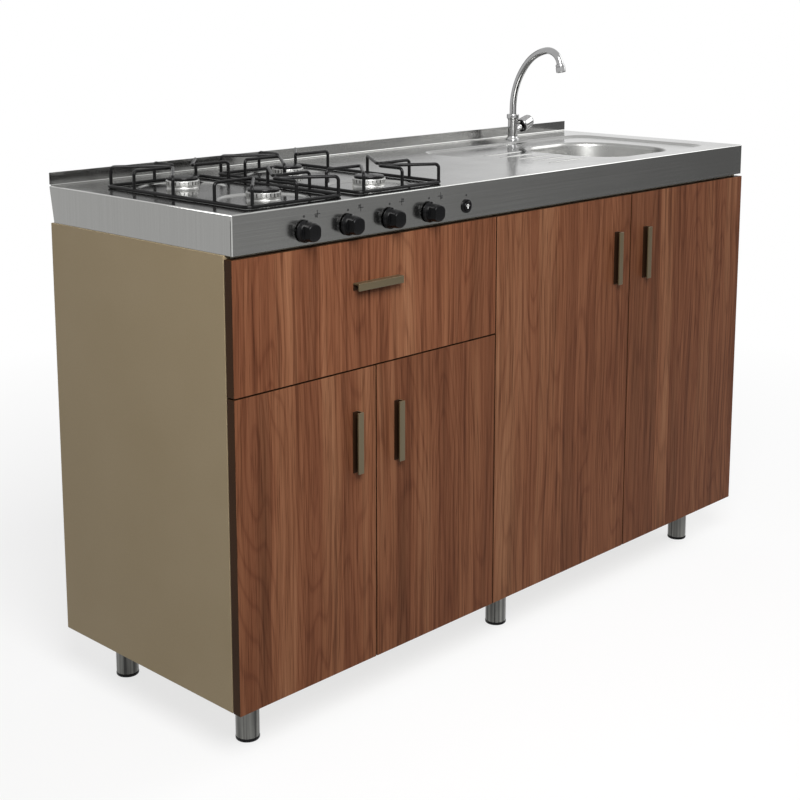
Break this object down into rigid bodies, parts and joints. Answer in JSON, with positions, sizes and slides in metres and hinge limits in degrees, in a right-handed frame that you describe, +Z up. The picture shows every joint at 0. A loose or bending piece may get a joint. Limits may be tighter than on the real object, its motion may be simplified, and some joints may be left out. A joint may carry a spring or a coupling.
{
  "type": "kitchen base cabinet",
  "caption": "Kitchen base cabinet on tube legs with walnut doors and drawer under a folded steel worktop holding a gas hob, pressed sink and swan-neck tap.",
  "frame": {"origin": "on the floor, in the middle of the unit's length and of its full depth with the knobs", "axes": "+X along the front to the right, +Y from the front to the back, +Z up"},
  "size_m": [1.506, 0.538, 1.1586],
  "materials": {
    "taupe_laminate": "satin laminate",
    "walnut_laminate": "satin laminate with an upright walnut grain",
    "cream_board": "matt melamine",
    "zinc_steel": "zinc plated",
    "stainless": "fine brushed along the length",
    "chrome": "polished",
    "dark_chrome": "polished dark chrome",
    "bronze_metal": "satin bronze",
    "cast_aluminium": "cast, satin",
    "pipe_aluminium": "drawn tube",
    "black_enamel": "black enamel",
    "white_ceramic": "glazed",
    "brass": "turned",
    "black_plastic": "satin"
  },
  "bodies": {
    "cabinet": {"left_side_panel": "taupe_laminate", "right_side_panel": "taupe_laminate", "partition_panel": "cream_board", "floor_panels": "cream_board", "back_panels": "cream_board", "carcass_rails": "cream_board", "shelf": "cream_board", "carcass_fixings": "zinc_steel", "hinge_arms": "zinc_steel", "drawer_runner_rails": "zinc_steel", "leg_plates": "zinc_steel", "leg_tubes": "dark_chrome", "leg_feet": "black_plastic", "worktop": "stainless", "sink_bowl": "stainless", "sink_drain": "chrome", "burner_cups": "cast_aluminium", "burner_crowns": "cast_aluminium", "burner_caps": "black_enamel", "spark_electrodes": "white_ceramic", "gas_manifold": "zinc_steel", "gas_valves": "brass", "burner_pipes": "pipe_aluminium", "spark_module": "black_plastic", "ignition_bezel": "black_plastic", "tap_body": "chrome"},
    "drawer": {"drawer_front": "walnut_laminate", "drawer_handle": "bronze_metal", "drawer_boards": "cream_board", "drawer_slides": "zinc_steel"},
    "ignition_button": {"ignition_button": "black_plastic"},
    "spout": {"tap_spout": "chrome", "tap_aerator": "chrome"},
    "tap_handle": {"tap_handle": "chrome"},
    "left_grate": {"left_grate": "black_enamel"},
    "right_grate": {"right_grate": "black_enamel"},
    "left_outer_door": {"left_outer_door": "walnut_laminate", "left_outer_door_handle": "bronze_metal", "left_outer_hinge_cups": "zinc_steel"},
    "left_outer_links": {"left_outer_hinge_links": "zinc_steel"},
    "left_inner_door": {"left_inner_door": "walnut_laminate", "left_inner_door_handle": "bronze_metal", "left_inner_hinge_cups": "zinc_steel"},
    "left_inner_links": {"left_inner_hinge_links": "zinc_steel"},
    "right_inner_door": {"right_inner_door": "walnut_laminate", "right_inner_door_handle": "bronze_metal", "right_inner_hinge_cups": "zinc_steel"},
    "right_inner_links": {"right_inner_hinge_links": "zinc_steel"},
    "right_outer_door": {"right_outer_door": "walnut_laminate", "right_outer_door_handle": "bronze_metal", "right_outer_hinge_cups": "zinc_steel"},
    "right_outer_links": {"right_outer_hinge_links": "zinc_steel"},
    "knob_1": {"knob_1": "black_plastic", "valve_stem_1": "brass"},
    "knob_2": {"knob_2": "black_plastic", "valve_stem_2": "brass"},
    "knob_3": {"knob_3": "black_plastic", "valve_stem_3": "brass"},
    "knob_4": {"knob_4": "black_plastic", "valve_stem_4": "brass"}
  },
  "joints": [
    {"name": "left_outer_door_swing", "type": "hinge", "parent": "cabinet", "child": "left_outer_door", "pos_m": [-0.753, -0.242, 0.4], "axis": [0, 0, -1], "range_deg": [0, 95]},
    {"name": "left_outer_link_slide", "type": "slide", "parent": "cabinet", "child": "left_outer_links", "axis": [0, -1, 0], "range_m": [0, 0.032]},
    {"name": "left_inner_door_swing", "type": "hinge", "parent": "cabinet", "child": "left_inner_door", "pos_m": [-0.11325, -0.242, 0.4], "axis": [0, 0, 1], "range_deg": [0, 85]},
    {"name": "left_inner_link_slide", "type": "slide", "parent": "cabinet", "child": "left_inner_links", "axis": [0, -1, 0], "range_m": [0, 0.0285]},
    {"name": "right_inner_door_swing", "type": "hinge", "parent": "cabinet", "child": "right_inner_door", "pos_m": [-0.11075, -0.242, 0.4], "axis": [0, 0, -1], "range_deg": [0, 85]},
    {"name": "right_inner_link_slide", "type": "slide", "parent": "cabinet", "child": "right_inner_links", "axis": [0, -1, 0], "range_m": [0, 0.0285]},
    {"name": "right_outer_door_swing", "type": "hinge", "parent": "cabinet", "child": "right_outer_door", "pos_m": [0.753, -0.242, 0.4], "axis": [0, 0, 1], "range_deg": [0, 95]},
    {"name": "right_outer_link_slide", "type": "slide", "parent": "cabinet", "child": "right_outer_links", "axis": [0, -1, 0], "range_m": [0, 0.032]},
    {"name": "drawer_slide", "type": "slide", "parent": "cabinet", "child": "drawer", "axis": [0, -1, 0], "range_m": [0, 0.32]},
    {"name": "knob_1_turn", "type": "hinge", "parent": "cabinet", "child": "knob_1", "pos_m": [-0.598, -0.241, 0.897], "axis": [0, -1, 0], "range_deg": [0, 210]},
    {"name": "knob_2_turn", "type": "hinge", "parent": "cabinet", "child": "knob_2", "pos_m": [-0.498, -0.241, 0.897], "axis": [0, -1, 0], "range_deg": [0, 210]},
    {"name": "knob_3_turn", "type": "hinge", "parent": "cabinet", "child": "knob_3", "pos_m": [-0.398, -0.241, 0.897], "axis": [0, -1, 0], "range_deg": [0, 210]},
    {"name": "knob_4_turn", "type": "hinge", "parent": "cabinet", "child": "knob_4", "pos_m": [-0.298, -0.241, 0.897], "axis": [0, -1, 0], "range_deg": [0, 210]},
    {"name": "ignition_push", "type": "slide", "parent": "cabinet", "child": "ignition_button", "axis": [0, 1, 0], "range_m": [0, 0.003], "stiffness_N_per_m": 300},
    {"name": "spout_swivel", "type": "hinge", "parent": "cabinet", "child": "spout", "pos_m": [0.478, 0.211, 1], "axis": [0, 0, 1], "range_deg": [-100, 100]},
    {"name": "tap_handle_turn", "type": "hinge", "parent": "cabinet", "child": "tap_handle", "pos_m": [0.478, 0.211, 0.96], "axis": [0.9397, 0, 0.342], "range_deg": [0, 180]},
    {"name": "left_grate_lift", "type": "slide", "parent": "cabinet", "child": "left_grate", "axis": [0, 0, 1], "range_m": [0, 0.08]},
    {"name": "right_grate_lift", "type": "slide", "parent": "cabinet", "child": "right_grate", "axis": [0, 0, 1], "range_m": [0, 0.08]}
  ],
  "couplings": [
    {"joint": "left_outer_link_slide", "follows": "left_outer_door_swing", "m_per_rad": 0.019},
    {"joint": "left_inner_link_slide", "follows": "left_inner_door_swing", "m_per_rad": 0.019},
    {"joint": "right_inner_link_slide", "follows": "right_inner_door_swing", "m_per_rad": 0.019},
    {"joint": "right_outer_link_slide", "follows": "right_outer_door_swing", "m_per_rad": 0.019}
  ]
}
